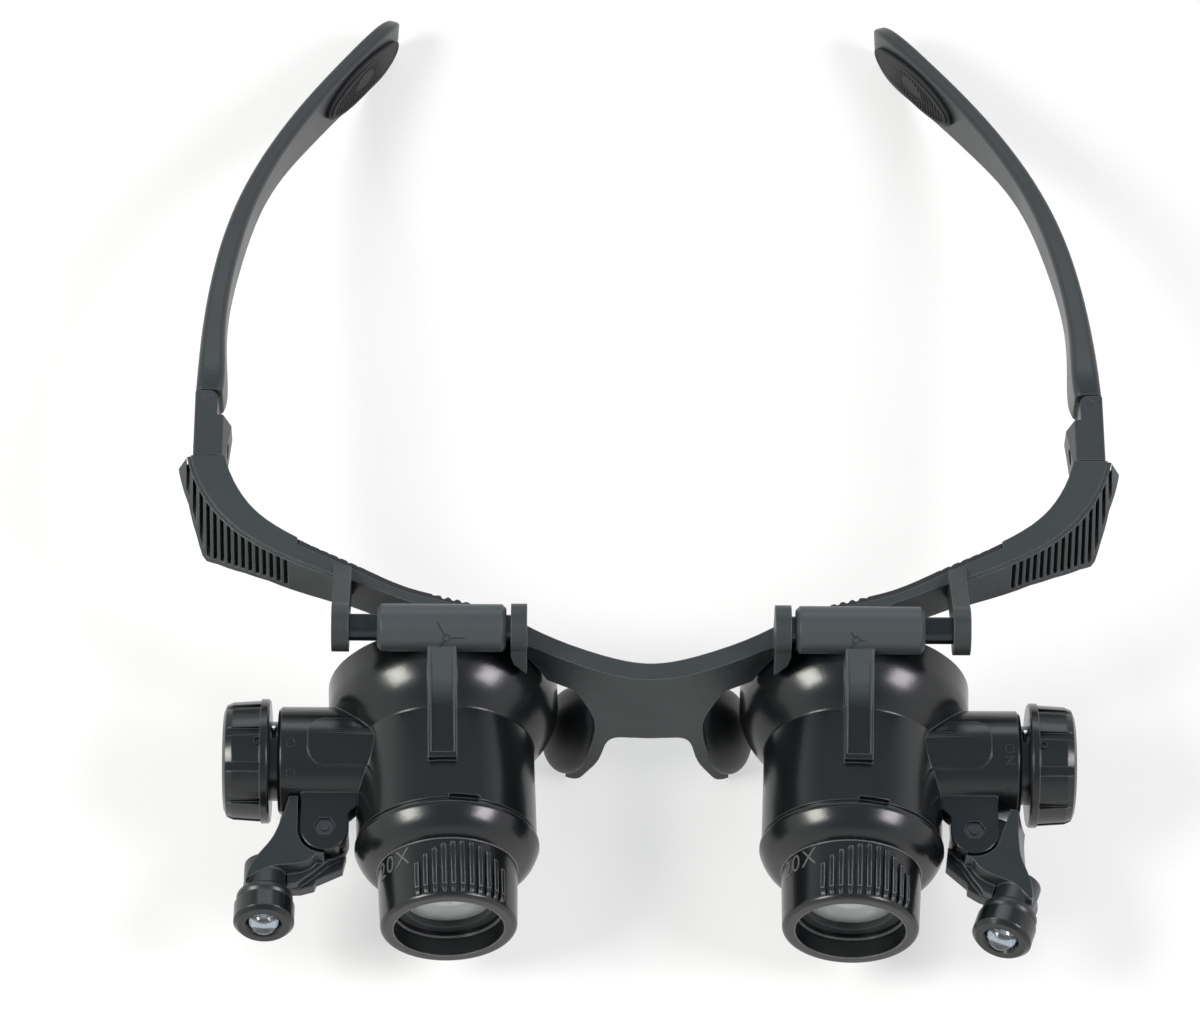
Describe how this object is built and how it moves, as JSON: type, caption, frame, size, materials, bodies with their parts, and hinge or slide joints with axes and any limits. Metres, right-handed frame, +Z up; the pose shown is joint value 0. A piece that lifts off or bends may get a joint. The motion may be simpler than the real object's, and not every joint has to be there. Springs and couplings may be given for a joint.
{
  "type": "lighted magnifier glasses",
  "caption": "Head-worn loupe glasses: wrap frame with folding temples, flip-up sliding eyepieces with eyecups and lens barrels, battery tubes with twist caps and swinging lamps.",
  "frame": {"origin": "bottom centre of the bounding box, on the table under the middle of the glasses", "axes": "+Y from the lenses back to the temple tips, +X to the right of the picture, +Z up"},
  "size_m": [0.1608, 0.2022, 0.0455],
  "materials": {
    "frame_plastic": "fine matte moulded texture",
    "body_plastic": "semi-gloss moulded",
    "inner_plastic": "matte black against stray light",
    "ring_plastic": "gloss",
    "rubber": "soft matte",
    "lens_glass": "polished",
    "clear_resin": "polished clear resin",
    "rod_steel": "blackened steel rod",
    "steel": "dark zinc",
    "spring_steel": "bright",
    "cell_steel": "bright cell cans",
    "brass_contact": "bright",
    "lead_wire": "tinned wire"
  },
  "bodies": {
    "frame": {"front_frame": "frame_plastic", "left_nose_pad": "rubber", "left_brow_pad": "rubber", "left_hinge_block": "frame_plastic", "left_block_screw": "steel", "left_temple_pin": "steel", "right_nose_pad": "rubber", "right_brow_pad": "rubber", "right_hinge_block": "frame_plastic", "right_block_screw": "steel", "right_temple_pin": "steel"},
    "left_temple": {"left_temple": "frame_plastic", "left_tip_pad": "rubber"},
    "left_rod": {"left_hinge_rod": "rod_steel"},
    "left_eyepiece": {"left_eyepiece_housing": "body_plastic", "left_battery_cells": "cell_steel", "left_battery_spring": "spring_steel", "left_tube_contact": "brass_contact", "left_lamp_screw": "steel", "left_lamp_nut": "steel"},
    "left_barrel": {"left_lens_barrel": "body_plastic", "left_rear_lens": "lens_glass", "left_lens_spacer": "inner_plastic", "left_front_lens": "lens_glass", "left_retaining_ring": "inner_plastic"},
    "left_cap": {"left_battery_cap": "body_plastic", "left_cap_contact": "brass_contact"},
    "left_lamp": {"left_lamp_arm": "body_plastic", "left_lamp_ring": "ring_plastic", "left_bulb": "clear_resin", "left_bulb_leads": "lead_wire"},
    "right_temple": {"right_temple": "frame_plastic", "right_tip_pad": "rubber"},
    "right_rod": {"right_hinge_rod": "rod_steel"},
    "right_eyepiece": {"right_eyepiece_housing": "body_plastic", "right_battery_cells": "cell_steel", "right_battery_spring": "spring_steel", "right_tube_contact": "brass_contact", "right_lamp_screw": "steel", "right_lamp_nut": "steel"},
    "right_barrel": {"right_lens_barrel": "body_plastic", "right_rear_lens": "lens_glass", "right_lens_spacer": "inner_plastic", "right_front_lens": "lens_glass", "right_retaining_ring": "inner_plastic"},
    "right_cap": {"right_battery_cap": "body_plastic", "right_cap_contact": "brass_contact"},
    "right_lamp": {"right_lamp_arm": "body_plastic", "right_lamp_ring": "ring_plastic", "right_bulb": "clear_resin", "right_bulb_leads": "lead_wire"}
  },
  "joints": [
    {"name": "left_temple_fold", "type": "hinge", "parent": "frame", "child": "left_temple", "pos_m": [-0.0756, -0.00316, 0.0329], "axis": [0, 0, -1], "range_deg": [0, 90]},
    {"name": "left_eyepiece_flip", "type": "hinge", "parent": "frame", "child": "left_rod", "pos_m": [-0.03485, -0.05204, 0.0414], "axis": [-1, 0, 0], "range_deg": [0, 90]},
    {"name": "left_eyepiece_slide", "type": "slide", "parent": "left_rod", "child": "left_eyepiece", "axis": [-1, 0, 0], "range_m": [0, 0.0044]},
    {"name": "left_lamp_swing", "type": "hinge", "parent": "left_eyepiece", "child": "left_lamp", "pos_m": [-0.0542, -0.07984, 0.0202], "axis": [0, 0, 1], "range_deg": [0, 24]},
    {"name": "left_cap_turn", "type": "hinge", "parent": "left_eyepiece", "child": "left_cap", "pos_m": [-0.0623, -0.06504, 0.0194], "axis": [-1, 0, 0], "range_deg": [0, 90]},
    {"name": "left_lens_twist", "type": "hinge", "parent": "left_eyepiece", "child": "left_barrel", "pos_m": [-0.03383, -0.08122, 0.0194], "axis": [0.0349, -0.9994, 0], "range_deg": [0, 30]},
    {"name": "right_temple_fold", "type": "hinge", "parent": "frame", "child": "right_temple", "pos_m": [0.0756, -0.00316, 0.0329], "axis": [0, 0, 1], "range_deg": [-1.5, 72]},
    {"name": "right_eyepiece_flip", "type": "hinge", "parent": "frame", "child": "right_rod", "pos_m": [0.03485, -0.05204, 0.0414], "axis": [-1, 0, 0], "range_deg": [0, 90]},
    {"name": "right_eyepiece_slide", "type": "slide", "parent": "right_rod", "child": "right_eyepiece", "axis": [1, 0, 0], "range_m": [0, 0.0044]},
    {"name": "right_lamp_swing", "type": "hinge", "parent": "right_eyepiece", "child": "right_lamp", "pos_m": [0.0542, -0.07984, 0.0202], "axis": [0, 0, -1], "range_deg": [-18, 6]},
    {"name": "right_cap_turn", "type": "hinge", "parent": "right_eyepiece", "child": "right_cap", "pos_m": [0.0623, -0.06504, 0.0194], "axis": [1, 0, 0], "range_deg": [0, 90]},
    {"name": "right_lens_twist", "type": "hinge", "parent": "right_eyepiece", "child": "right_barrel", "pos_m": [0.03383, -0.08122, 0.0194], "axis": [-0.0349, -0.9994, 0], "range_deg": [0, 30]}
  ]
}
